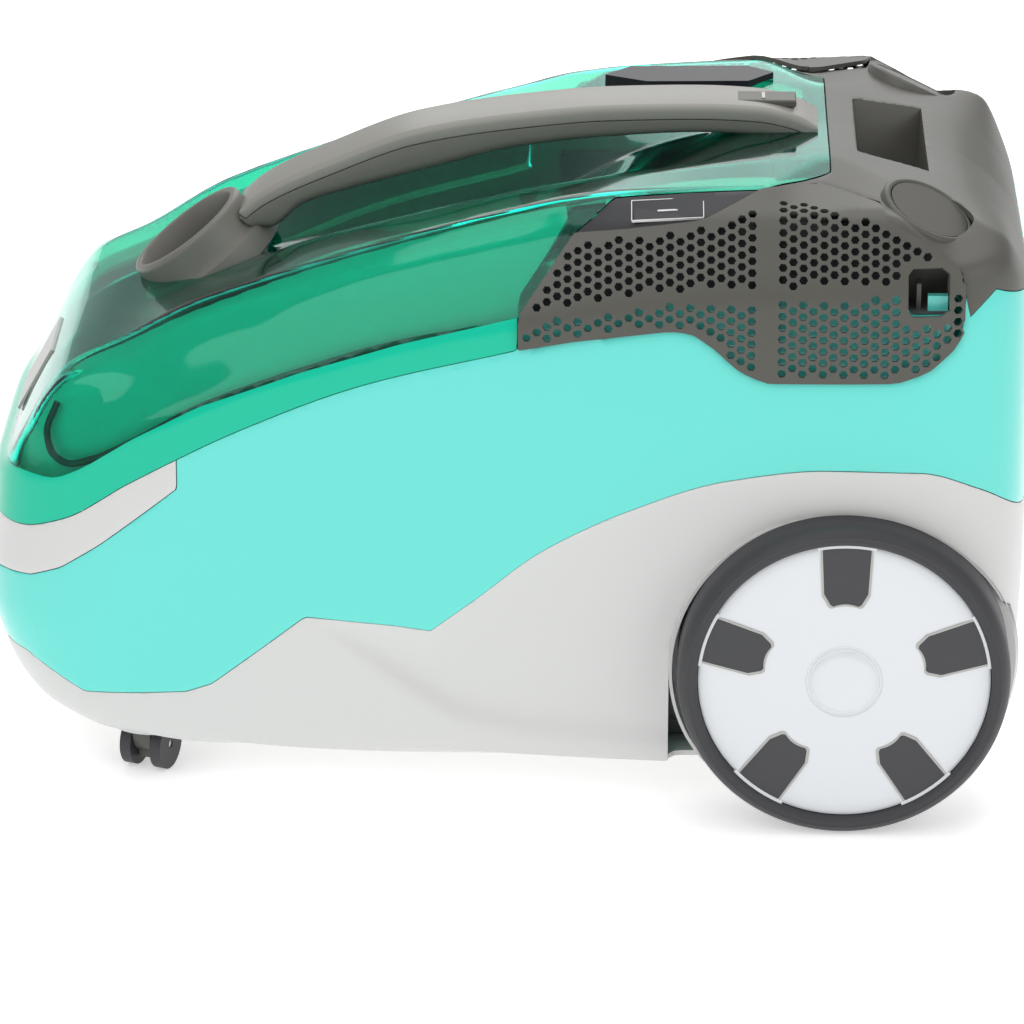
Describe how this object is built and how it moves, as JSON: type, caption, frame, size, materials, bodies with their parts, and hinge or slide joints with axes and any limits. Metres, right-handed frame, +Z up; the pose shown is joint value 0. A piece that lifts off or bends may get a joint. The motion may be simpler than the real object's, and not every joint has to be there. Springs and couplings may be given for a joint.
{
  "type": "canister washing vacuum cleaner",
  "caption": "Wheeled canister wet and dry washing vacuum with a hinged lid, carrying handle, hose port, control keys, large rear wheels and front castors.",
  "frame": {"origin": "on the floor under the middle of the machine", "axes": "+X to the back, -X to the nose with the hose port, +Y to the machine's right side, +Z up"},
  "size_m": [0.4869, 0.318, 0.306],
  "materials": {
    "light_shell": "satin",
    "turquoise_shell": "gloss",
    "grille_turquoise": "gloss",
    "lid_translucent": "gloss",
    "grey_trim": "satin",
    "dark_panel": "satin",
    "silver_trim": "satin",
    "button_grey": "satin",
    "tyre": "matte",
    "wheel_white": "gloss",
    "insert_grey": "matte",
    "soft_seal": "matte",
    "steel": "brushed",
    "smoke_plastic": "gloss",
    "inner_plastic": "matte",
    "foam": "matte",
    "board": "matte"
  },
  "bodies": {
    "housing": {"base_pan": "light_shell", "body_shell": "turquoise_shell", "front_bumper": "light_shell", "vent_grille_left": "grille_turquoise", "vent_grille_right": "grille_turquoise", "rear_cover": "grey_trim", "touch_panel_left": "dark_panel", "touch_panel_right": "dark_panel", "latch_keeper": "inner_plastic", "hinge_pins": "steel", "hinge_bracket": "inner_plastic", "wheel_axles": "steel", "dirty_water_tank": "smoke_plastic", "filter_box_lid": "inner_plastic", "tank_gasket": "soft_seal", "foam_filter": "foam", "clean_water_tank": "smoke_plastic", "tank_filler_cap": "inner_plastic", "spray_pump": "inner_plastic", "motor_housing": "inner_plastic", "motor_mounts": "soft_seal", "reel_frame": "inner_plastic", "cord_outlet_gland": "soft_seal", "control_board": "board", "exhaust_filter_left": "foam", "exhaust_filter_right": "foam", "base_screws": "steel"},
    "lid": {"lid_shell": "lid_translucent", "lid_badge": "silver_trim", "handle_lower": "silver_trim", "handle_upper": "grey_trim", "hose_port_ring": "grey_trim", "hose_port_seal": "soft_seal", "duct_elbow": "inner_plastic", "latch_bracket": "inner_plastic", "latch_pin": "steel", "filler_cover": "grey_trim"},
    "release": {"release_button": "dark_panel"},
    "latch": {"latch_hook": "inner_plastic"},
    "left_wheel": {"left_tyre": "tyre", "left_wheel_disc": "wheel_white", "left_spoke_inserts": "insert_grey", "left_hub_cap": "insert_grey"},
    "right_wheel": {"right_tyre": "tyre", "right_wheel_disc": "wheel_white", "right_spoke_inserts": "insert_grey", "right_hub_cap": "insert_grey"},
    "left_castor": {"left_castor_fork": "grey_trim", "left_castor_axle": "steel"},
    "left_rollers": {"left_castor_wheels": "tyre"},
    "right_castor": {"right_castor_fork": "grey_trim", "right_castor_axle": "steel"},
    "right_rollers": {"right_castor_wheels": "tyre"},
    "rewind": {"rewind_button": "button_grey"},
    "power": {"power_button": "button_grey"},
    "minus": {"minus_key": "dark_panel"},
    "plus": {"plus_key": "dark_panel"},
    "rotor": {"rotor_shaft": "steel", "fan_impeller": "inner_plastic"},
    "reel": {"reel_drum": "inner_plastic"}
  },
  "joints": [
    {"name": "lid_hinge", "type": "hinge", "parent": "housing", "child": "lid", "pos_m": [-0.2384, 0, 0.1276], "axis": [0, -1, 0], "range_deg": [0, 70]},
    {"name": "release_press", "type": "slide", "parent": "lid", "child": "release", "axis": [0, 0, -1], "range_m": [0, 0.0025], "stiffness_N_per_m": 800, "springref_m": -0.002},
    {"name": "latch_turn", "type": "hinge", "parent": "lid", "child": "latch", "pos_m": [0.128, 0, 0.282], "axis": [0, 1, 0], "range_deg": [0, 12]},
    {"name": "left_wheel_spin", "type": "hinge", "parent": "housing", "child": "left_wheel", "pos_m": [0.1585, -0.142, 0.076], "axis": [0, 1, 0], "continuous": true},
    {"name": "right_wheel_spin", "type": "hinge", "parent": "housing", "child": "right_wheel", "pos_m": [0.1585, 0.142, 0.076], "axis": [0, 1, 0], "continuous": true},
    {"name": "left_castor_swivel", "type": "hinge", "parent": "housing", "child": "left_castor", "pos_m": [-0.163, -0.08, 0.04], "axis": [0, 0, 1], "continuous": true},
    {"name": "left_castor_roll", "type": "hinge", "parent": "left_castor", "child": "left_rollers", "pos_m": [-0.16515, -0.0856, 0.012], "axis": [0.9336, -0.3584, 0], "continuous": true},
    {"name": "right_castor_swivel", "type": "hinge", "parent": "housing", "child": "right_castor", "pos_m": [-0.163, 0.08, 0.04], "axis": [0, 0, 1], "continuous": true},
    {"name": "right_castor_roll", "type": "hinge", "parent": "right_castor", "child": "right_rollers", "pos_m": [-0.16515, 0.0744, 0.012], "axis": [0.9336, -0.3584, 0], "continuous": true},
    {"name": "rewind_press", "type": "slide", "parent": "housing", "child": "rewind", "axis": [-0.4219, 0.2009, -0.8841], "range_m": [0, 0.004], "stiffness_N_per_m": 500, "springref_m": -0.003},
    {"name": "power_press", "type": "slide", "parent": "housing", "child": "power", "axis": [-0.4219, -0.2009, -0.8841], "range_m": [0, 0.004], "stiffness_N_per_m": 500, "springref_m": -0.003},
    {"name": "minus_press", "type": "slide", "parent": "housing", "child": "minus", "axis": [0.0601, 0.3603, -0.9309], "range_m": [0, 0.0008], "stiffness_N_per_m": 1200, "springref_m": -0.0005},
    {"name": "plus_press", "type": "slide", "parent": "housing", "child": "plus", "axis": [0.0601, -0.3603, -0.9309], "range_m": [0, 0.0008], "stiffness_N_per_m": 1200, "springref_m": -0.0005},
    {"name": "rotor_spin", "type": "hinge", "parent": "housing", "child": "rotor", "pos_m": [0.112, 0, 0.1], "axis": [0, 0, 1], "continuous": true},
    {"name": "reel_spin", "type": "hinge", "parent": "housing", "child": "reel", "pos_m": [0.2, 0, 0.125], "axis": [1, 0, 0], "continuous": true}
  ],
  "couplings": [
    {"joint": "latch_turn", "follows": "release_press", "rad_per_m": 83.7}
  ]
}
